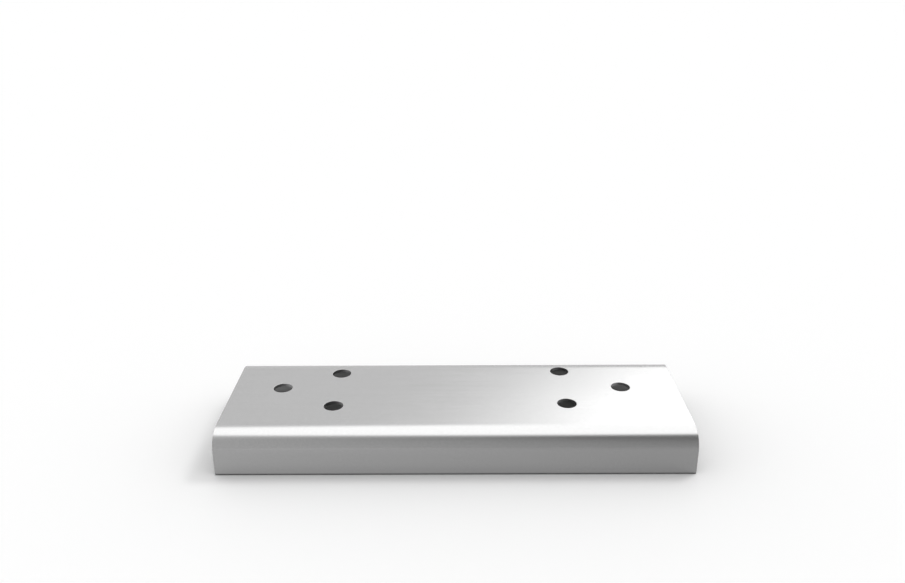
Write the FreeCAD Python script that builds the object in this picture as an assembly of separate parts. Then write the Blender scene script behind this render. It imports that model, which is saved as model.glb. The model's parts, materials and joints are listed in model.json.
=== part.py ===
# Splice plate, folded from one piece of stainless sheet into a shallow channel.
# It lies as it is used, with the web on top and both flanges turned down.
# X runs along the plate, Y across it from front to rear, Z up.
# The origin is at the middle of the rectangle that the flange edges stand on.

import FreeCAD, Part
import math
import os

from FreeCAD import Vector

# Overall sizes, in millimetres

plate_length = 200.0
plate_width = 70.0
plate_height = 18.5

# Sheet and fold

sheet_thickness = 1.5
inside_bend_radius = 7.0
flange_corner_radius = 1.0
edge_break = 0.2
widest_break_share = 0.3

# Bolt holes, clearance size for 8 mm bolts

bolt_hole_diameter = 8.4

# Distance of each hole from the cut end that it is nearest to

left_end_hole_inset = 22.2
left_pair_inset = 47.1
right_end_hole_inset = 25.4
right_pair_inset = 51.3

# Places across the plate: the spacing within a pair, and the distances to the rear of the centre line

pair_spacing = 30.5
end_hole_offset = 6.5
left_pair_offset = 5.3
right_pair_offset = 6.8

# How near to a plane an edge or a face counts as lying in it

in_plane = 0.01


def straight(y1, z1, y2, z2):
    """Straight edge of the section between two points."""
    return Part.LineSegment(Vector(0, y1, z1), Vector(0, y2, z2)).toShape()


def bend_corner(centre_y, centre_z, radius, side):
    """Quarter circle of a bend, from flange to web. Side is -1 at the front and 1 at the rear."""
    diagonal = radius * math.sqrt(0.5)
    flange_point = Vector(0, side * (centre_y + radius), centre_z)
    middle_point = Vector(0, side * (centre_y + diagonal), centre_z + diagonal)
    web_point = Vector(0, side * centre_y, centre_z + radius)
    return Part.Arc(flange_point, middle_point, web_point).toShape()


def channel_section():
    """Closed outline of the folded sheet, square to its length: two flanges, two bends and the web."""
    outer_y = plate_width / 2
    inner_y = outer_y - sheet_thickness
    outer_radius = inside_bend_radius + sheet_thickness
    centre_y = outer_y - outer_radius
    centre_z = plate_height - outer_radius
    underside = plate_height - sheet_thickness
    edges = [
        straight(-centre_y, plate_height, centre_y, plate_height),
        straight(-centre_y, underside, centre_y, underside),
    ]
    for side in (-1, 1):
        edges += [
            bend_corner(centre_y, centre_z, outer_radius, side),
            straight(side * outer_y, centre_z, side * outer_y, 0),
            straight(side * outer_y, 0, side * inner_y, 0),
            straight(side * inner_y, 0, side * inner_y, centre_z),
            bend_corner(centre_y, centre_z, inside_bend_radius, side),
        ]
    return Part.Face(Part.Wire(Part.__sortEdges__(edges)))


def folded_channel():
    """The section drawn out to the plate's length, cut square at both ends."""
    section = channel_section()
    section.translate(Vector(-plate_length / 2, 0, 0))
    return section.extrude(Vector(plate_length, 0, 0))


def crosses_flange_foot(edge):
    """True for the short edge through a flange's thickness, where its foot meets a cut end."""
    box = edge.BoundBox
    return box.ZMax < in_plane and box.XLength < in_plane


def with_round_corners(plate):
    """Rounds the four lower corners of the flanges."""
    corners = [edge for edge in plate.Edges if crosses_flange_foot(edge)]
    return plate.makeFillet(flange_corner_radius, corners)


def is_skin(face):
    """True for the outer and inner faces of the sheet, but not for its cut ends and feet."""
    runs_along = face.BoundBox.XLength > plate_length / 2
    at_the_foot = face.BoundBox.ZMax < in_plane
    return runs_along and not at_the_foot


def bevel_size():
    """Width of the broken edges, which a thin sheet limits."""
    return min(edge_break, sheet_thickness * widest_break_share)


def with_broken_edges(plate):
    """Takes the sharpness off every edge where the skin of the sheet meets a cut face."""
    skin_edges = [edge for face in plate.Faces if is_skin(face) for edge in face.Edges]
    marks = [edge.hashCode() for edge in skin_edges]
    rims = [edge for edge, mark in zip(skin_edges, marks) if marks.count(mark) == 1]
    return plate.makeChamfer(bevel_size(), rims)


def hole_places():
    """Centres of the six holes: one near each end, and a pair further in."""
    left = -plate_length / 2
    right = plate_length / 2
    half_pair = pair_spacing / 2
    return [
        (left + left_end_hole_inset, end_hole_offset),
        (left + left_pair_inset, left_pair_offset + half_pair),
        (left + left_pair_inset, left_pair_offset - half_pair),
        (right - right_end_hole_inset, end_hole_offset),
        (right - right_pair_inset, right_pair_offset + half_pair),
        (right - right_pair_inset, right_pair_offset - half_pair),
    ]


def hole_cutter(x, y):
    """What is taken out at one hole, right through the web, with both rims broken like the other edges."""
    radius = bolt_hole_diameter / 2
    underside = plate_height - sheet_thickness
    bevel = bevel_size()
    flare = bevel + sheet_thickness
    profile = [
        Vector(0, 0, underside + bevel - flare),
        Vector(radius + flare, 0, underside + bevel - flare),
        Vector(radius, 0, underside + bevel),
        Vector(radius, 0, plate_height - bevel),
        Vector(radius + flare, 0, plate_height - bevel + flare),
        Vector(0, 0, plate_height - bevel + flare),
        Vector(0, 0, underside + bevel - flare),
    ]
    cutter = Part.Face(Part.makePolygon(profile)).revolve(Vector(0, 0, 0), Vector(0, 0, 1), 360)
    cutter.translate(Vector(x, y, 0))
    return cutter


def splice_plate():
    """The whole plate, one solid."""
    plate = with_broken_edges(with_round_corners(folded_channel()))
    return plate.cut([hole_cutter(x, y) for x, y in hole_places()])


os.makedirs("parts", exist_ok=True)
splice_plate().exportStep("parts/splice_plate.step")
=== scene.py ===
# The look of a splice plate folded from stainless sheet, on a white floor in soft studio light.
# Lengths are metres unless a name ends in _mm, and the axes are those of the frame:
# X along the plate, Y across it from front to rear, Z up.

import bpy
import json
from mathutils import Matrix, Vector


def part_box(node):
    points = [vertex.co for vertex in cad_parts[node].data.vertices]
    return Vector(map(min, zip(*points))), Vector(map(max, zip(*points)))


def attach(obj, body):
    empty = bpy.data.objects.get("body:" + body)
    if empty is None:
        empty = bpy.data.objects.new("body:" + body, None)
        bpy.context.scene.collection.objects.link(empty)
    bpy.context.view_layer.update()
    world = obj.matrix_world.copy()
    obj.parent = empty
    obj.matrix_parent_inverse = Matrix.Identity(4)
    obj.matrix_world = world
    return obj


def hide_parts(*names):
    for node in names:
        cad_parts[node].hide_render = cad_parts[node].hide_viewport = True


bl_info = {
    "name": "Folded splice plate",
    "version": (1, 0, 0),
    "blender": (4, 5, 0),
    "location": "3D View > Sidebar > Splice plate",
    "description": "Builds the finish of a folded stainless splice plate and its white studio",
    "category": "Object",
}

import json
import math

import bmesh
import bpy
from mathutils import Matrix, Vector
from mathutils.geometry import delaunay_2d_cdt

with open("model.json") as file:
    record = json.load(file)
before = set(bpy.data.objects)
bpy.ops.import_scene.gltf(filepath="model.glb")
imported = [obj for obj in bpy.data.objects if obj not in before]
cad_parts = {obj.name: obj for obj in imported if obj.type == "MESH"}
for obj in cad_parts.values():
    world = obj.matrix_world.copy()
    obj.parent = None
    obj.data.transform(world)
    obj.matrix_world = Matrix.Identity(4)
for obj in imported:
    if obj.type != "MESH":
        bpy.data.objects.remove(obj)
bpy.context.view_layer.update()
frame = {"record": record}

NODE = "splice_plate"
BODY = "root"
MM = 0.001
WHITE = (1, 1, 1, 1)

# Strips round each lower corner of a flange, and slices in which the run of a bend is added up.
CORNER_STEPS = 8
BEND_SLICES = 64
# Creases of the mesh stop this far short of a hole's edge.
HOLE_CLEARANCE = 1.0 * MM
# Creases belong together when their places across the sheet agree to this many decimals of a metre.
CREASE_DECIMALS = 9
# The triangulation takes points this close as one, and gives faces that a mesh can hold.
SAME_POINT = 1e-7
MESH_FACES = 5

# The overhead silk reaches from its front edge to its rear one, in heights of the silk over the floor. The
# grey cloth hangs from the front edge.
SILK_FRONT = -0.60
SILK_REAR = 2.8


def linear(hex_colour):
    """An sRGB hex colour, such as #B4B4B4, as linear red, green and blue. The numbers are those of sRGB."""
    def to_linear(level):
        share = level / 255
        return share / 12.92 if share <= 0.04045 else ((share + 0.055) / 1.055) ** 2.4
    digits = hex_colour.lstrip("#")
    return tuple(to_linear(int(digits[i:i + 2], 16)) for i in (0, 2, 4))


class PlateSizes(bpy.types.PropertyGroup):
    """Sizes of the sheet and its folds. Length, width, height and holes come from the frame."""

    sheet_thickness: bpy.props.FloatProperty(
        name="Sheet thickness", description="Thickness of the sheet",
        default=1.5 * MM, min=0.1 * MM, precision=5, subtype="DISTANCE", unit="LENGTH")
    inside_bend_radius: bpy.props.FloatProperty(
        name="Inside bend radius",
        description="Radius on the inner skin in the middle of a bend, where it is tightest",
        default=6.5 * MM, min=0.1 * MM, precision=5, subtype="DISTANCE", unit="LENGTH")
    bend_easing: bpy.props.FloatProperty(
        name="Bend easing", description="Run over which the sheet's curve grows into a bend, and out of it",
        default=3.9 * MM, min=0.01 * MM, precision=5, subtype="DISTANCE", unit="LENGTH")
    flange_corner_radius: bpy.props.FloatProperty(
        name="Flange corner radius", description="Radius of the four lower corners of the flanges",
        default=0.5 * MM, min=0.3 * MM, precision=5, subtype="DISTANCE", unit="LENGTH")
    foot_rounding: bpy.props.FloatProperty(
        name="Foot rounding", description="Radius that tumbling leaves on the edges of the flanges' feet",
        default=0.32 * MM, min=0.02 * MM, precision=5, subtype="DISTANCE", unit="LENGTH")
    end_rounding: bpy.props.FloatProperty(
        name="End rounding", description="Radius that tumbling leaves on the edges of the plate's ends",
        default=0.14 * MM, min=0.02 * MM, precision=5, subtype="DISTANCE", unit="LENGTH")
    hole_rounding: bpy.props.FloatProperty(
        name="Hole rounding", description="Radius that tumbling leaves on the edges of the holes",
        default=0.14 * MM, min=0.02 * MM, precision=5, subtype="DISTANCE", unit="LENGTH")
    bend_steps: bpy.props.IntProperty(
        name="Bend steps", description="Flat strips that make up each bend", default=32, min=4)
    hole_steps: bpy.props.IntProperty(
        name="Hole steps", description="Flat strips that make up the wall of a hole", default=96, min=12)
    rounding_steps: bpy.props.IntProperty(
        name="Rounding steps", description="Strips that make up the rounding of an edge", default=4, min=1)


class SteelFinish(bpy.types.PropertyGroup):
    """Colours and texture of the stainless sheet."""

    skin_colour: bpy.props.FloatVectorProperty(
        name="Skin colour", description="What the rolled skin reflects straight back",
        default=linear("#B2B2B2"), min=0, max=1, size=3, subtype="COLOR")
    cut_colour: bpy.props.FloatVectorProperty(
        name="Cut colour", description="What the cut edges reflect straight back",
        default=linear("#A0A0A0"), min=0, max=1, size=3, subtype="COLOR")
    skin_roughness: bpy.props.FloatProperty(
        name="Skin roughness", description="Roughness of the rolled skin", default=0.19, min=0, max=1)
    cut_roughness: bpy.props.FloatProperty(
        name="Cut roughness", description="Roughness of the cut edges", default=0.36, min=0, max=1)
    streak_length: bpy.props.FloatProperty(
        name="Streak length", description="Length of the rolling streaks",
        default=40 * MM, min=1 * MM, precision=4, subtype="DISTANCE", unit="LENGTH")
    streak_width: bpy.props.FloatProperty(
        name="Streak width", description="Width of the rolling streaks",
        default=1.0 * MM, min=0.05 * MM, precision=5, subtype="DISTANCE", unit="LENGTH")
    streak_contrast: bpy.props.FloatProperty(
        name="Streak contrast", description="Share by which the streaks lighten and darken the skin",
        default=0.005, min=0, max=1, precision=3)
    grain_size: bpy.props.FloatProperty(
        name="Grain size", description="Size of the fine orange peel in the skin",
        default=0.9 * MM, min=0.05 * MM, precision=5, subtype="DISTANCE", unit="LENGTH")
    grain_contrast: bpy.props.FloatProperty(
        name="Grain contrast", description="Share by which the orange peel lightens and darkens the skin",
        default=0.019, min=0, max=1, precision=3)
    grain_depth: bpy.props.FloatProperty(
        name="Grain depth", description="Depth of the orange peel",
        default=0.009 * MM, min=0, precision=6, subtype="DISTANCE", unit="LENGTH")


class StudioSettings(bpy.types.PropertyGroup):
    """Floor, light and camera."""

    floor_colour: bpy.props.FloatVectorProperty(
        name="Floor colour", description="Colour of the paper that the plate lies on",
        default=linear("#FFFFFF"), min=0, max=1, size=3, subtype="COLOR")
    # Painted reflection: where the metal reflects the paper, it shows this grey level instead of the
    # paper's white.
    paper_in_metal: bpy.props.FloatProperty(
        name="Paper in the metal", description="How light the paper is where the metal reflects it",
        default=0.687, min=0, max=1)
    dome_share: bpy.props.FloatProperty(
        name="Dome share", description="Share of the floor's light that comes from the dome",
        default=0.877, min=0, max=1)
    key_share: bpy.props.FloatProperty(
        name="Key share", description="Share of the floor's light that comes from the key lamp",
        default=0.123, min=0, max=1)
    key_azimuth: bpy.props.FloatProperty(
        name="Key azimuth", description="Where the key lamp stands, turned from the rear to the right",
        default=math.radians(52.6), subtype="ANGLE", unit="ROTATION")
    key_elevation: bpy.props.FloatProperty(
        name="Key elevation", description="How high the key lamp stands over the horizon",
        default=math.radians(51), min=math.radians(5), subtype="ANGLE", unit="ROTATION")
    key_width: bpy.props.FloatProperty(
        name="Key width", description="How wide the key lamp is, seen from the plate",
        default=math.radians(15.3), min=0, subtype="ANGLE", unit="ROTATION")
    silk_height: bpy.props.FloatProperty(
        name="Silk height", description="Height of the silk that hangs over the plate",
        default=3.0, min=0.5, subtype="DISTANCE", unit="LENGTH")
    silk_strength: bpy.props.FloatProperty(
        name="Silk strength", description="Brightness of the silk over the plate", default=2.2, min=0)
    silk_rear_strength: bpy.props.FloatProperty(
        name="Silk strength at the rear",
        description="Brightness of the silk behind the plate, under its lamp",
        default=7.9, min=0)
    silk_edge_turn: bpy.props.FloatProperty(
        name="Silk edge turn",
        description="How far the lit part's rear left edge turns from the plate's length",
        default=math.radians(47), subtype="ANGLE", unit="ROTATION")
    # The grey cloth glows by emission at these painted brightnesses.
    cloth_left: bpy.props.FloatProperty(
        name="Cloth at the left", description="Brightness of the grey cloth 1 m to the left",
        default=0.95, min=0)
    cloth_right: bpy.props.FloatProperty(
        name="Cloth at the right", description="Brightness of the grey cloth 1 m to the right",
        default=0.27, min=0)
    lens_mm: bpy.props.FloatProperty(
        name="Lens", description="Focal length on a sensor 36 mm wide", default=34.42, min=10,
        subtype="DISTANCE_CAMERA")
    camera_place: bpy.props.FloatVectorProperty(
        name="Camera place", description="Where the camera stands",
        default=(0.00097, -0.3406, 0.2040), size=3, subtype="TRANSLATION", unit="LENGTH")
    camera_pitch: bpy.props.FloatProperty(
        name="Camera pitch", description="How far the camera looks down",
        default=math.radians(21.80), subtype="ANGLE", unit="ROTATION")
    camera_turn: bpy.props.FloatProperty(
        name="Camera turn", description="How far the camera turns to the right",
        default=math.radians(-0.318), subtype="ANGLE", unit="ROTATION")
    camera_roll: bpy.props.FloatProperty(
        name="Camera roll", description="How far the camera leans",
        default=math.radians(-0.334), subtype="ANGLE", unit="ROTATION")


def add_node(tree, kind, inputs=None, **settings):
    """Adds one node. Inputs maps a socket's name or number to a value, or to the output that feeds it."""
    node = tree.nodes.new(kind)
    for name, value in settings.items():
        setattr(node, name, value)
    for key, value in (inputs or {}).items():
        if isinstance(value, bpy.types.NodeSocket):
            tree.links.new(value, node.inputs[key])
        else:
            node.inputs[key].default_value = value
    return node


def new_material(name):
    """An empty node material, with its node tree."""
    material = bpy.data.materials.new(name)
    material.use_nodes = True
    material.node_tree.nodes.clear()
    return material, material.node_tree


# Stainless sheet, cold rolled to a satin skin and then punched, folded and tumbled. The skin is a soft
# grey mirror with faint streaks along the rolling direction, and the cut edges are duller and darker.
def satin_stainless_sheet(finish):
    """Material of the plate. The mesh layer cut_edge is 1 on punched and sheared walls, 0 on the skin."""
    material, tree = new_material("satin_stainless_sheet")
    # A noise node gives mostly values between these two.
    noise_low, noise_high = 0.3, 0.7
    place = add_node(tree, "ShaderNodeTexCoord").outputs["Object"]
    cut = add_node(tree, "ShaderNodeAttribute", attribute_name="cut_edge").outputs["Fac"]

    # Real rolling lines are under 0.1 mm wide, too fine to show, so these are drawn several times coarser.
    along, across = 1 / finish.streak_length, 1 / finish.streak_width
    streak_place = add_node(tree, "ShaderNodeMapping", {"Vector": place, "Scale": (along, across, across)})
    streaks = add_node(tree, "ShaderNodeTexNoise", {
        "Vector": streak_place.outputs[0], "Scale": 1.0, "Detail": 1.0, "Roughness": 0.5})
    grain = add_node(tree, "ShaderNodeTexNoise", {
        "Vector": place, "Scale": 1 / finish.grain_size, "Detail": 1.0, "Roughness": 0.5})
    cloud_size = 30 * MM
    clouds = add_node(tree, "ShaderNodeTexNoise", {"Vector": place, "Scale": 1 / cloud_size, "Detail": 2.0})

    # The gloss varies a little with the streaks and the clouds together.
    gloss_spread = 0.03
    texture = add_node(tree, "ShaderNodeMath", {0: streaks.outputs["Fac"], 1: clouds.outputs["Fac"]},
                       operation="ADD")
    skin_roughness = add_node(tree, "ShaderNodeMapRange", {
        "Value": texture.outputs[0], "From Min": 2 * noise_low, "From Max": 2 * noise_high,
        "To Min": finish.skin_roughness - gloss_spread, "To Max": finish.skin_roughness + gloss_spread})
    roughness = add_node(tree, "ShaderNodeMix", {
        "Factor": cut, "A": skin_roughness.outputs[0], "B": finish.cut_roughness}, data_type="FLOAT")

    streak_level = add_node(tree, "ShaderNodeMapRange", {
        "Value": streaks.outputs["Fac"], "From Min": noise_low, "From Max": noise_high,
        "To Min": 1 - finish.streak_contrast, "To Max": 1 + finish.streak_contrast})
    grain_level = add_node(tree, "ShaderNodeMapRange", {
        "Value": grain.outputs["Fac"], "From Min": noise_low, "From Max": noise_high,
        "To Min": 1 - finish.grain_contrast, "To Max": 1 + finish.grain_contrast})
    level = add_node(tree, "ShaderNodeMath", {0: streak_level.outputs[0], 1: grain_level.outputs[0]},
                     operation="MULTIPLY")
    skin = add_node(tree, "ShaderNodeVectorMath", {0: tuple(finish.skin_colour), 1: level.outputs[0]},
                    operation="MULTIPLY")
    # A mix node has its two colours at inputs 6 and 7 and gives theirs at output 2.
    colour = add_node(tree, "ShaderNodeMix", {
        "Factor": cut, 6: skin.outputs[0], 7: (*finish.cut_colour, 1.0)}, data_type="RGBA")

    bump = add_node(tree, "ShaderNodeBump", {
        "Height": grain.outputs["Fac"], "Strength": 1.0, "Distance": finish.grain_depth})
    metal = add_node(tree, "ShaderNodeBsdfPrincipled", {
        "Base Color": colour.outputs[2], "Metallic": 1.0, "Roughness": roughness.outputs[0],
        "Normal": bump.outputs[0]})
    add_node(tree, "ShaderNodeOutputMaterial", {"Surface": metal.outputs[0]})
    return material


# Matt white background paper, rolled out flat. It takes the plate's soft shadow and has no gloss. Shade is
# painted into its colour as well: a painted shadow line at the flanges' feet and painted shade under the
# middle of the plate. In the metal the paper is painted greyer, more so at the right, and part of it glows
# by itself there, a painted light that lifts the plate's shadow.
def white_paper(studio, sizes):
    """Material of the floor."""
    material, tree = new_material("white_background_paper")
    low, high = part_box(NODE)
    place = add_node(tree, "ShaderNodeTexCoord").outputs["Object"]
    split = add_node(tree, "ShaderNodeSeparateXYZ", {0: place})
    from_middle = add_node(tree, "ShaderNodeVectorMath", {0: place}, operation="ABSOLUTE")
    apart = add_node(tree, "ShaderNodeSeparateXYZ", {0: from_middle.outputs[0]})

    # The painted shadow line round each foot is this wide, and has this level at the foot.
    gap_reach, gap_level = 0.6 * MM, 0.25
    half_foot = sizes.sheet_thickness / 2
    from_foot = add_node(tree, "ShaderNodeMath", {0: apart.outputs["Y"], 1: high.y - half_foot},
                         operation="SUBTRACT")
    from_foot = add_node(tree, "ShaderNodeMath", {0: from_foot.outputs[0]}, operation="ABSOLUTE")
    past_end = add_node(tree, "ShaderNodeMath", {
        0: apart.outputs["X"], 1: high.x - sizes.flange_corner_radius - half_foot}, operation="SUBTRACT")
    off_foot = add_node(tree, "ShaderNodeMath", {0: from_foot.outputs[0], 1: past_end.outputs[0]},
                        operation="MAXIMUM")
    painted_gap_shadow = add_node(tree, "ShaderNodeMapRange", {
        "Value": off_foot.outputs[0], "From Min": half_foot, "From Max": half_foot + gap_reach,
        "To Min": gap_level, "To Max": 1.0})

    # Under the plate the paper's colour is painted down to this level, a painted shade. It fades out along
    # the plate between the two lengths from its middle, and across it between the two distances inside the
    # flange's outer face.
    under_level = 0.45
    dark_length, light_length = 60 * MM, 86 * MM
    dark_inside, light_inside = 6 * MM, 1.5 * MM
    under_middle = add_node(tree, "ShaderNodeMapRange", {
        "Value": apart.outputs["X"], "From Min": dark_length, "From Max": light_length,
        "To Min": under_level, "To Max": 1.0})
    painted_under_shade = add_node(tree, "ShaderNodeMapRange", {
        "Value": apart.outputs["Y"], "From Min": high.y - dark_inside, "From Max": high.y - light_inside,
        "To Min": under_middle.outputs[0], "To Max": 1.0})
    # The painted shadow line and the painted shade under the plate darken the paper's colour together.
    painted_shade = add_node(tree, "ShaderNodeMath", {0: painted_gap_shadow.outputs[0], 1: painted_under_shade.outputs[0]},
                     operation="MULTIPLY")
    colour = add_node(tree, "ShaderNodeVectorMath", {0: tuple(studio.floor_colour), 1: painted_shade.outputs[0]},
                      operation="MULTIPLY")
    paper = add_node(tree, "ShaderNodeBsdfDiffuse", {"Color": colour.outputs[0]})

    # In the metal the paper's colour is a painted shade: this much lighter at the left end and darker at
    # the right one. Between these distances in front of the plate it is also painted darker to the right,
    # down to the far level at the right end.
    side_difference = 0.075
    near_distance, far_distance = 15 * MM, 130 * MM
    far_right_level = 0.86
    across = add_node(tree, "ShaderNodeMapRange", {
        "Value": split.outputs["X"], "From Min": low.x, "From Max": high.x,
        "To Min": studio.paper_in_metal + side_difference,
        "To Max": studio.paper_in_metal - side_difference})
    far_level = add_node(tree, "ShaderNodeMapRange", {
        "Value": split.outputs["X"], "From Min": low.x, "From Max": high.x,
        "To Min": 1.0, "To Max": far_right_level})
    farther = add_node(tree, "ShaderNodeMapRange", {
        "Value": split.outputs["Y"], "From Min": low.y - far_distance, "From Max": low.y - near_distance,
        "To Min": far_level.outputs[0], "To Max": 1.0})
    level = add_node(tree, "ShaderNodeMath", {0: across.outputs[0], 1: farther.outputs[0]},
                     operation="MULTIPLY")
    # The painted shadow line at the feet shows in the metal too.
    level = add_node(tree, "ShaderNodeMath", {0: level.outputs[0], 1: painted_gap_shadow.outputs[0]},
                     operation="MULTIPLY")
    shaded = add_node(tree, "ShaderNodeBsdfDiffuse", {"Color": level.outputs[0]})
    # The glow is painted light: the paper seen in the metal shines by itself at the painted level.
    glow = add_node(tree, "ShaderNodeEmission", {"Color": level.outputs[0], "Strength": 1.0})

    # Part of that level is painted light: the paper glows by itself with it, so it stays that bright where
    # the plate shades the paper. Under the plate that part comes in between two lengths from its middle and
    # goes again over a reach inside the flange's outer face. Outside the flange it comes in between two
    # distances from it.
    inside_part, outside_part = 0.24, 0.6
    start_length, full_length = 20 * MM, 86 * MM
    inside_reach = 8 * MM
    outside_start, outside_full = 0.3 * MM, 1.2 * MM
    end_share = add_node(tree, "ShaderNodeMapRange", {
        "Value": apart.outputs["X"], "From Min": start_length, "From Max": full_length,
        "To Min": 0.0, "To Max": inside_part})
    inner_share = add_node(tree, "ShaderNodeMapRange", {
        "Value": apart.outputs["Y"], "From Min": high.y - inside_reach, "From Max": high.y,
        "To Min": end_share.outputs[0], "To Max": 0.0})
    outer_share = add_node(tree, "ShaderNodeMapRange", {
        "Value": apart.outputs["Y"], "From Min": high.y + outside_start, "From Max": high.y + outside_full,
        "To Min": 0.0, "To Max": outside_part})
    painted_light_share = add_node(tree, "ShaderNodeMath", {0: inner_share.outputs[0], 1: outer_share.outputs[0]},
                          operation="ADD")
    in_metal = add_node(tree, "ShaderNodeMixShader", {
        0: painted_light_share.outputs[0], 1: shaded.outputs[0], 2: glow.outputs[0]})
    # Glossy rays see the painted grey and glowing paper. Camera and matt surfaces see the paper itself.
    path = add_node(tree, "ShaderNodeLightPath")
    seen = add_node(tree, "ShaderNodeMixShader", {
        0: path.outputs["Is Glossy Ray"], 1: paper.outputs[0], 2: in_metal.outputs[0]})
    add_node(tree, "ShaderNodeOutputMaterial", {"Surface": seen.outputs[0]})
    return material


class FoldedSheet:
    """The plate as a flat blank and the fold that turns it into a channel.

    A point of the blank is x along the plate, run across it from the middle line, and level above the
    middle of the sheet. The fold keeps x, and the run leads over the web, a bend and a flange.
    """

    def __init__(self, sizes, low, high):
        self.low_x, self.high_x = low.x, high.x
        self.middle_y = (low.y + high.y) / 2
        self.top = high.z
        self.half_sheet = sizes.sheet_thickness / 2
        self.bend_radius = sizes.inside_bend_radius + self.half_sheet
        self.easing = sizes.bend_easing
        self.bend_length = self.bend_radius * math.pi / 2 + self.easing
        bend_out, bend_down, _ = self.along_bend(self.bend_length)
        self.flat_half = (high.y - low.y) / 2 - self.half_sheet - bend_out
        flange = high.z - low.z - self.half_sheet - bend_down
        self.half_blank = self.flat_half + self.bend_length + flange
        self.bend_steps = sizes.bend_steps

    def turn_after(self, run):
        """How far the sheet has turned after a run of the bend."""
        tightest = 1 / self.bend_radius
        left = self.bend_length - run
        if run < self.easing:
            return tightest * run ** 2 / (2 * self.easing)
        if left < self.easing:
            return math.pi / 2 - tightest * left ** 2 / (2 * self.easing)
        return tightest * (run - self.easing / 2)

    def along_bend(self, run):
        """How far out and down a run of the bend leads, and how far the sheet has turned there."""
        step = run / BEND_SLICES
        turns = [self.turn_after((i + 0.5) * step) for i in range(BEND_SLICES)]
        out = step * sum(math.cos(turn) for turn in turns)
        down = step * sum(math.sin(turn) for turn in turns)
        return out, down, self.turn_after(run)

    def bend_lines(self):
        """Where the blank is creased on one side, from the web's edge to the flange's."""
        return [self.flat_half + self.bend_length * i / self.bend_steps for i in range(self.bend_steps + 1)]

    def fold(self, x, run, level, facing):
        """Place and normal in the folded plate, of a point whose normal in the blank is facing."""
        side = math.copysign(1, run)
        past_flat = max(0.0, abs(run) - self.flat_half)
        out, down, turn = self.along_bend(min(past_flat, self.bend_length))
        past_bend = max(0.0, past_flat - self.bend_length)
        across = Vector((0, side * math.cos(turn), -math.sin(turn)))
        outward = Vector((0, side * math.sin(turn), math.cos(turn)))
        end_of_bend = Vector((x, self.middle_y + side * (min(abs(run), self.flat_half) + out),
                              self.top - self.half_sheet - down))
        place = end_of_bend + across * past_bend + outward * level
        normal = Vector((facing[0], 0, 0)) + across * (side * facing[1]) + outward * facing[2]
        return place, normal.normalized()


def blank_outline(sheet, corner_radius):
    """Outer edge of the blank, anticlockwise, as points with the outward direction at each."""
    lines = sheet.bend_lines()
    rising = [-run for run in reversed(lines)] + lines
    outline = []

    def corner(x, run, first_turn):
        for i in range(CORNER_STEPS + 1):
            angle = first_turn + math.pi / 2 * i / CORNER_STEPS
            direction = Vector((math.cos(angle), math.sin(angle)))
            outline.append((Vector((x, run)) + direction * corner_radius, direction))

    right, left = sheet.high_x - corner_radius, sheet.low_x + corner_radius
    corner_run = sheet.half_blank - corner_radius
    corner(right, -corner_run, -math.pi / 2)
    outline += [(Vector((sheet.high_x, run)), Vector((1, 0))) for run in rising]
    corner(right, corner_run, 0)
    corner(left, corner_run, math.pi / 2)
    outline += [(Vector((sheet.low_x, run)), Vector((-1, 0))) for run in reversed(rising)]
    corner(left, -corner_run, math.pi)
    return outline


def hole_outline(centre, radius, steps):
    """Edge of a hole, clockwise, as points with the direction out of the metal at each."""
    outline = []
    for i in range(steps):
        angle = -2 * math.pi * i / steps
        direction = Vector((math.cos(angle), math.sin(angle)))
        outline.append((Vector(centre) + direction * radius, -direction))
    return outline


def edge_profile(sheet, rounding, steps):
    """Steps over the edge of the sheet, from the outer skin down to the inner one.

    Each is how far in from the edge it is, its level, and the parts of its normal out of the edge and up.
    """
    upper = []
    for i in range(steps + 1):
        turn = math.pi / 2 * i / steps
        inset = rounding * (1 - math.sin(turn))
        level = sheet.half_sheet - rounding * (1 - math.cos(turn))
        upper.append((inset, level, math.sin(turn), math.cos(turn)))
    lower = [(inset, -level, out, -up) for inset, level, out, up in reversed(upper)]
    return upper + lower


def bolt_holes(record):
    """Centre and radius of every bolt hole, from the mounts that the record states."""
    holes = []
    for mount in record["mounts"]:
        if mount["kind"] != "bolt_pattern":
            continue
        dims = mount["dims"]
        half = Vector((dims.get("spacing_x_mm", 0), dims.get("spacing_y_mm", 0))) * MM / 2
        centre = Vector(mount["pos_m"][:2])
        holes += [(centre + half, dims["hole_r_mm"] * MM), (centre - half, dims["hole_r_mm"] * MM)]
    return holes


def crease_breaks(run, holes):
    """Where a crease along the plate stops and starts again so that it stays off the holes, in order."""
    breaks = []
    for centre, radius in holes:
        keep_off = radius + HOLE_CLEARANCE
        if abs(run - centre.y) < keep_off:
            breaks += [centre.x - keep_off, centre.x + keep_off]
    return sorted(breaks)


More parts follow.
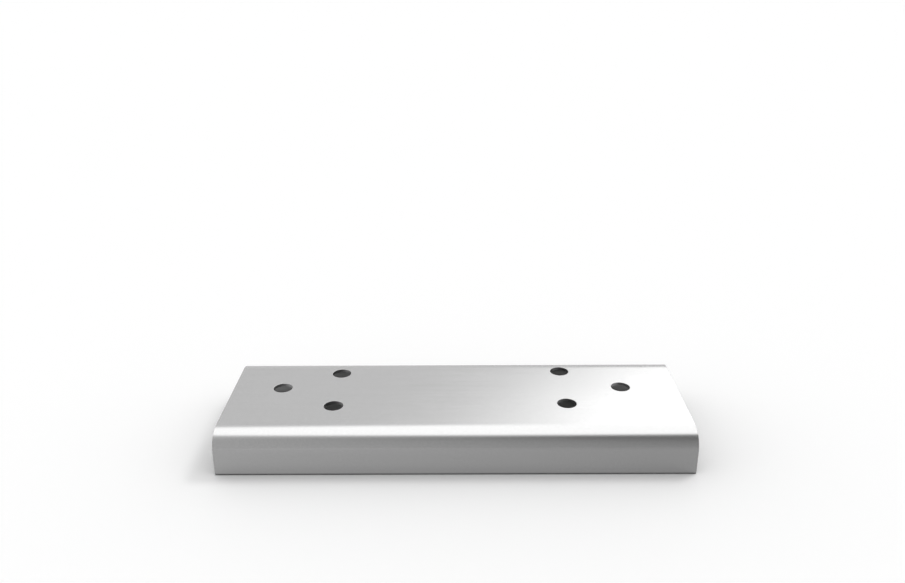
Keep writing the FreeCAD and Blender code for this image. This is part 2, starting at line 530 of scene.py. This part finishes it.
def folded_plate(sizes):
    """Mesh of the plate with rounded edges, and the exact normal at each of its points."""
    low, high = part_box(NODE)
    sheet = FoldedSheet(sizes, low, high)
    holes = bolt_holes(frame["record"])
    mesh = bmesh.new()
    cut_layer = mesh.verts.layers.float.new("cut_edge")
    normals = []

    def point(x, run, level, facing, cut):
        """Adds a point of the blank at its place in the folded plate."""
        place, normal = sheet.fold(x, run, level, facing)
        vertex = mesh.verts.new(place)
        vertex[cut_layer] = cut
        normals.append(normal)
        return vertex

    # Every edge is a wall of strips with rounded shoulders. Round the flange corners the rounding passes
    # from that of the ends to that of the feet.
    blank = blank_outline(sheet, sizes.flange_corner_radius)
    outlines = [(blank, sizes.end_rounding, sizes.foot_rounding)]
    outlines += [(hole_outline(centre, radius, sizes.hole_steps), sizes.hole_rounding, sizes.hole_rounding)
                 for centre, radius in holes]
    rims = []
    for outline, end_rounding, foot_rounding in outlines:
        profiles = []
        for _, outward in outline:
            rounding = end_rounding + (foot_rounding - end_rounding) * outward.y ** 2
            profiles.append(edge_profile(sheet, rounding, sizes.rounding_steps))
        rows = []
        for steps in zip(*profiles):
            row = []
            for (place, outward), (inset, level, out, up) in zip(outline, steps):
                row.append(point(*(place - outward * inset), level, (*(outward * out), up), out))
            rows.append(row)
        for upper, lower in zip(rows, rows[1:]):
            for i in range(len(outline)):
                following = (i + 1) % len(outline)
                mesh.faces.new((upper[i], lower[i], lower[following], upper[following]))
        flat = [place - outward * profile[0][0] for (place, outward), profile in zip(outline, profiles)]
        rims.append((flat, rows[0], rows[-1]))

    # The two skins are one flat pattern, bounded by the rims and creased along the bend lines.
    flat_points, outer_points, inner_points, edges, rim_of = [], [], [], [], []
    for number, (flat, outer_row, inner_row) in enumerate(rims):
        first = len(flat_points)
        rim_of += [number] * len(flat)
        flat_points += flat
        outer_points += outer_row
        inner_points += inner_row
        edges += [(first + i, first + (i + 1) % len(flat)) for i in range(len(flat))]
    crease_ends = {}
    last_crease = sheet.flat_half + sheet.bend_length + SAME_POINT
    for index, (place, outward) in enumerate(blank):
        if outward.y == 0 and abs(place.y) < last_crease:
            crease_ends.setdefault(round(place.y, CREASE_DECIMALS), []).append(index)
    for run, ends in crease_ends.items():
        left, right = sorted(ends, key=lambda index: flat_points[index].x)
        chain = [left]
        for x in crease_breaks(run, holes):
            chain.append(len(flat_points))
            rim_of.append(0)
            flat_points.append(Vector((x, run)))
            outer_points.append(point(x, run, sheet.half_sheet, (0, 0, 1), 0))
            inner_points.append(point(x, run, -sheet.half_sheet, (0, 0, -1), 0))
        chain.append(right)
        edges += list(zip(chain[::2], chain[1::2]))
    _, _, faces, _, _, _ = delaunay_2d_cdt(flat_points, edges, [], MESH_FACES, SAME_POINT)
    for corners in faces:
        around = {rim_of[i] for i in corners}
        inside_hole = len(around) == 1 and around != {0}
        if inside_hole:
            continue
        mesh.faces.new([outer_points[i] for i in corners])
        mesh.faces.new([inner_points[i] for i in reversed(corners)])

    data = bpy.data.meshes.new("splice_plate_finish")
    mesh.to_mesh(data)
    mesh.free()
    data.polygons.foreach_set("use_smooth", [True] * len(data.polygons))
    data.normals_split_custom_set_from_vertices(normals)
    return data


def link(name, data):
    """Puts new data in the scene as an object."""
    made = bpy.data.objects.new(name, data)
    bpy.context.scene.collection.objects.link(made)
    return made


class SPLICE_PLATE_OT_fold(bpy.types.Operator):
    """Fold the sheet, punch its holes and give it its satin skin"""

    bl_idname = "splice_plate.fold"
    bl_label = "Fold the plate"
    bl_options = {"REGISTER", "UNDO"}

    def execute(self, context):
        scene = context.scene
        data = folded_plate(scene.splice_plate_sizes)
        data.materials.append(satin_stainless_sheet(scene.splice_plate_finish))
        plate = link("splice_plate_finish", data)
        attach(plate, BODY)
        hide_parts(NODE)
        return {"FINISHED"}


def white_world(dome_share):
    """The white dome. Camera and metal see plain white, and matt surfaces get its share of the light.

    For matt surfaces it is brightest along the horizon, darkest halfway up and lighter again overhead, and
    brighter at the rear and the left than at the front and the right.
    """
    world = bpy.data.worlds.new("white_dome")
    bpy.context.scene.world = world
    world.use_nodes = True
    tree = world.node_tree
    tree.nodes.clear()
    path = add_node(tree, "ShaderNodeLightPath")
    seen = add_node(tree, "ShaderNodeMath", {
        0: path.outputs["Is Camera Ray"], 1: path.outputs["Is Glossy Ray"]}, operation="MAXIMUM")
    seen = add_node(tree, "ShaderNodeMath", {
        0: seen.outputs[0], 1: path.outputs["Is Transmission Ray"]}, operation="MAXIMUM")

    # The light from a direction is a plain level, plus the slope along that direction, plus the high slope
    # along it times its height, plus the bend along its squares. The plain level makes up for the others,
    # so that open floor gets exactly the dome's share.
    slope = Vector((-0.515, 1.136, -5.853))
    high_slope = Vector((0.899, -1.213, 0))
    bend = Vector((-4.620, -5.143, 0))
    plain_level = dome_share * (1 - slope.z * 2 / 3 - (bend.x + bend.y) / 4)
    direction = add_node(tree, "ShaderNodeTexCoord").outputs["Generated"]
    upward = add_node(tree, "ShaderNodeSeparateXYZ", {0: direction}).outputs["Z"]
    slopes = add_node(tree, "ShaderNodeVectorMath", {
        0: upward, 1: high_slope * dome_share, 2: slope * dome_share}, operation="MULTIPLY_ADD")
    bent_slopes = add_node(tree, "ShaderNodeVectorMath", {
        0: direction, 1: bend * dome_share, 2: slopes.outputs[0]}, operation="MULTIPLY_ADD")
    uneven_part = add_node(tree, "ShaderNodeVectorMath", {0: direction, 1: bent_slopes.outputs[0]},
                           operation="DOT_PRODUCT")
    lit = add_node(tree, "ShaderNodeMath", {0: uneven_part.outputs["Value"], 1: plain_level},
                   operation="ADD")
    strength = add_node(tree, "ShaderNodeMix", {"Factor": seen.outputs[0], "A": lit.outputs[0], "B": 1.0},
                        data_type="FLOAT")
    dome = add_node(tree, "ShaderNodeBackground", {"Color": WHITE, "Strength": strength.outputs[0]})
    add_node(tree, "ShaderNodeOutputWorld", {"Surface": dome.outputs[0]})


def studio_lamp(name, azimuth, elevation, width, floor_share):
    """A wide lamp far off, whose light makes up a share of the floor's white.

    Its angles are radians, and azimuth turns from the rear to the right. The metal doesn't reflect it,
    because the silk and the cloth are what it reflects.
    """
    data = bpy.data.lights.new(name, "SUN")
    data.angle = width
    data.energy = floor_share * math.pi / math.sin(elevation)
    lamp = link(name, data)
    away = Vector((math.cos(elevation) * math.sin(azimuth), math.cos(elevation) * math.cos(azimuth),
                   math.sin(elevation)))
    lamp.matrix_world = away.to_track_quat("Z", "Y").to_matrix().to_4x4()
    lamp.visible_glossy = False


def studio_cloth(name, corners, material):
    """A flat cloth hung in the studio, out of the picture, that only the metal reflects."""
    mesh = bmesh.new()
    mesh.faces.new([mesh.verts.new(corner) for corner in corners])
    data = bpy.data.meshes.new(name)
    mesh.to_mesh(data)
    mesh.free()
    data.materials.append(material)
    cloth = link(name, data)
    cloth.visible_camera = False
    cloth.visible_diffuse = False
    cloth.visible_shadow = False


def painted_cloth_level(tree, studio):
    """Adds the painted brightness of the grey cloth at each place, and gives the output that holds it."""
    # The painted brightness falls from left to right, and by this much up to this height.
    height_loss, loss_height = 0.14, 1.9
    darkest_level, lightest_level = 0.28, 1.0
    place = add_node(tree, "ShaderNodeTexCoord").outputs["Object"]
    split = add_node(tree, "ShaderNodeSeparateXYZ", {0: place})
    across = add_node(tree, "ShaderNodeMath", {
        0: split.outputs["X"], 1: (studio.cloth_right - studio.cloth_left) / 2,
        2: (studio.cloth_left + studio.cloth_right) / 2}, operation="MULTIPLY_ADD")
    upward = add_node(tree, "ShaderNodeMapRange", {
        "Value": split.outputs["Z"], "From Min": 0.0, "From Max": loss_height,
        "To Min": 0.0, "To Max": height_loss})
    level = add_node(tree, "ShaderNodeMath", {0: across.outputs[0], 1: upward.outputs[0]},
                     operation="SUBTRACT")
    level = add_node(tree, "ShaderNodeMath", {0: level.outputs[0], 1: darkest_level}, operation="MAXIMUM")
    level = add_node(tree, "ShaderNodeMath", {0: level.outputs[0], 1: lightest_level}, operation="MINIMUM")
    return level.outputs[0]


# White diffusion silk on a frame, with a lamp above it. Its lit part has a slanted rear left edge, fades
# out far behind the plate and is brightest in front of that. Towards its front end it greys into the cloth
# along a shallow bow, and the rest of it is as white as the dome.
def lit_silk(studio):
    """Material of the overhead silk."""
    material, tree = new_material("lit_white_silk")
    height = studio.silk_height
    turn = studio.silk_edge_turn
    # These are in heights of the silk. The slanted edge runs through the point that the first two give.
    edge_back, edge_right, edge_softness = 1.54, 0.086, 0.295
    fade_start, fade_end = 1.72, 2.115
    lamp_start, lamp_full = 1.50, 2.10
    front_full = -0.20
    # Aside from the middle the front end lies farther back, by this much times the squared metres aside.
    front_bow = 0.2
    # The power by which the front end's fade starts slowly.
    front_easing = 1.8
    place = add_node(tree, "ShaderNodeTexCoord").outputs["Object"]
    split = add_node(tree, "ShaderNodeSeparateXYZ", {0: place})
    depth = split.outputs["Y"]
    from_edge = add_node(tree, "ShaderNodeVectorMath", {
        0: place, 1: (-math.sin(turn), math.cos(turn), 0)}, operation="DOT_PRODUCT").outputs["Value"]
    edge = height * (edge_back * math.cos(turn) - edge_right * math.sin(turn))
    softness = height * edge_softness
    within = add_node(tree, "ShaderNodeMapRange", {
        "Value": from_edge, "From Min": edge - softness, "From Max": edge + softness,
        "To Min": 1.0, "To Max": 0.0}, interpolation_type="SMOOTHSTEP")
    far_fade = add_node(tree, "ShaderNodeMapRange", {
        "Value": depth, "From Min": height * fade_start, "From Max": height * fade_end,
        "To Min": 1.0, "To Max": 0.0}, interpolation_type="SMOOTHSTEP")
    lamp = add_node(tree, "ShaderNodeMapRange", {
        "Value": depth, "From Min": height * lamp_start, "From Max": height * lamp_full,
        "To Min": studio.silk_strength - 1, "To Max": studio.silk_rear_strength - 1},
        interpolation_type="SMOOTHSTEP")
    lit = add_node(tree, "ShaderNodeMath", {0: within.outputs[0], 1: far_fade.outputs[0]},
                   operation="MULTIPLY")
    level = add_node(tree, "ShaderNodeMath", {0: lit.outputs[0], 1: lamp.outputs[0], 2: 1.0},
                     operation="MULTIPLY_ADD")
    aside = add_node(tree, "ShaderNodeMath", {0: split.outputs["X"], 1: 2.0}, operation="POWER")
    from_bow = add_node(tree, "ShaderNodeMath", {0: aside.outputs[0], 1: -front_bow, 2: depth},
                        operation="MULTIPLY_ADD")
    front_part = add_node(tree, "ShaderNodeMapRange", {
        "Value": from_bow.outputs[0], "From Min": height * SILK_FRONT, "From Max": height * front_full,
        "To Min": 0.0, "To Max": 1.0})
    front_fade = add_node(tree, "ShaderNodeMath", {0: front_part.outputs[0], 1: front_easing},
                          operation="POWER")
    shown = add_node(tree, "ShaderNodeMix", {
        "Factor": front_fade.outputs[0], "A": painted_cloth_level(tree, studio), "B": level.outputs[0]},
        data_type="FLOAT")
    glow = add_node(tree, "ShaderNodeEmission", {"Color": WHITE, "Strength": shown.outputs[0]})
    add_node(tree, "ShaderNodeOutputMaterial", {"Surface": glow.outputs[0]})
    return material


# Grey woven cloth, hung behind the camera, which gives the bend its dark line. Its brightness is painted
# light: it glows by emission, lighter at its left half and its foot, as if more light reached there.
def grey_cloth(studio):
    """Material of the cloth behind the camera."""
    material, tree = new_material("grey_studio_cloth")
    glow = add_node(tree, "ShaderNodeEmission", {"Color": WHITE, "Strength": painted_cloth_level(tree, studio)})
    add_node(tree, "ShaderNodeOutputMaterial", {"Surface": glow.outputs[0]})
    return material


def studio_camera(studio):
    """The camera, at the height and angle that the plate is pictured from."""
    data = bpy.data.cameras.new("studio_camera")
    data.sensor_width = 36
    data.lens = studio.lens_mm
    data.clip_start = 0.01
    data.clip_end = 100
    camera = link("studio_camera", data)
    level = Matrix.Rotation(math.pi / 2, 4, "X")
    pitch = Matrix.Rotation(-studio.camera_pitch, 4, "X")
    turn = Matrix.Rotation(-studio.camera_turn, 4, "Z")
    roll = Matrix.Rotation(studio.camera_roll, 4, "Z")
    camera.matrix_world = Matrix.Translation(studio.camera_place) @ turn @ pitch @ level @ roll
    bpy.context.scene.camera = camera


def white_floor(studio, sizes):
    """The paper floor, wide enough to reach the horizon."""
    half_width = 12.0
    mesh = bmesh.new()
    bmesh.ops.create_grid(mesh, x_segments=1, y_segments=1, size=half_width)
    data = bpy.data.meshes.new("paper_floor")
    mesh.to_mesh(data)
    mesh.free()
    data.materials.append(white_paper(studio, sizes))
    link("paper_floor", data)


class SPLICE_PLATE_OT_studio(bpy.types.Operator):
    """Set the white floor, the soft light and the camera"""

    bl_idname = "splice_plate.studio"
    bl_label = "Set the studio"
    bl_options = {"REGISTER", "UNDO"}

    def execute(self, context):
        scene = context.scene
        studio = scene.splice_plate_studio
        white_world(studio.dome_share)
        studio_lamp("key_lamp", studio.key_azimuth, studio.key_elevation, studio.key_width,
                    studio.key_share)
        white_floor(studio, scene.splice_plate_sizes)
        height = studio.silk_height
        front, rear = SILK_FRONT * height, SILK_REAR * height
        # How far the silk reaches to each side, where the cloth's foot stands, and how far that and the
        # cloth's top reach to each side.
        silk_side = 4.0
        cloth_foot, foot_side, top_side = -1.1, 0.6, 2.0
        studio_cloth("overhead_silk", [
            (-silk_side, front, height), (-silk_side, rear, height),
            (silk_side, rear, height), (silk_side, front, height)], lit_silk(studio))
        studio_cloth("front_grey_cloth", [
            (-foot_side, cloth_foot, 0), (foot_side, cloth_foot, 0),
            (top_side, front, height), (-top_side, front, height)], grey_cloth(studio))
        studio_camera(studio)
        scene.view_settings.view_transform = "Standard"
        scene.cycles.caustics_reflective = False
        return {"FINISHED"}


class SPLICE_PLATE_PT_panel(bpy.types.Panel):
    """Sizes, finish and studio of the splice plate"""

    bl_label = "Splice plate"
    bl_idname = "SPLICE_PLATE_PT_panel"
    bl_space_type = "VIEW_3D"
    bl_region_type = "UI"
    bl_category = "Splice plate"

    def draw(self, context):
        scene = context.scene
        for group in (scene.splice_plate_sizes, scene.splice_plate_finish, scene.splice_plate_studio):
            box = self.layout.box()
            for name in group.__annotations__:
                box.prop(group, name)
        for operator in OPERATORS:
            self.layout.operator(operator.bl_idname)


OPERATORS = (SPLICE_PLATE_OT_fold, SPLICE_PLATE_OT_studio)
CLASSES = (PlateSizes, SteelFinish, StudioSettings, *OPERATORS, SPLICE_PLATE_PT_panel)


def register():
    """Adds the classes to Blender, and their settings to its scenes."""
    for cls in CLASSES:
        bpy.utils.register_class(cls)
    bpy.types.Scene.splice_plate_sizes = bpy.props.PointerProperty(type=PlateSizes)
    bpy.types.Scene.splice_plate_finish = bpy.props.PointerProperty(type=SteelFinish)
    bpy.types.Scene.splice_plate_studio = bpy.props.PointerProperty(type=StudioSettings)


def unregister():
    """Takes the settings and the classes out again."""
    del bpy.types.Scene.splice_plate_studio
    del bpy.types.Scene.splice_plate_finish
    del bpy.types.Scene.splice_plate_sizes
    for cls in reversed(CLASSES):
        bpy.utils.unregister_class(cls)


def main():
    """Builds the studio and the plate."""
    register()
    bpy.ops.splice_plate.studio()
    bpy.ops.splice_plate.fold()


if __name__ == "__main__":
    main()
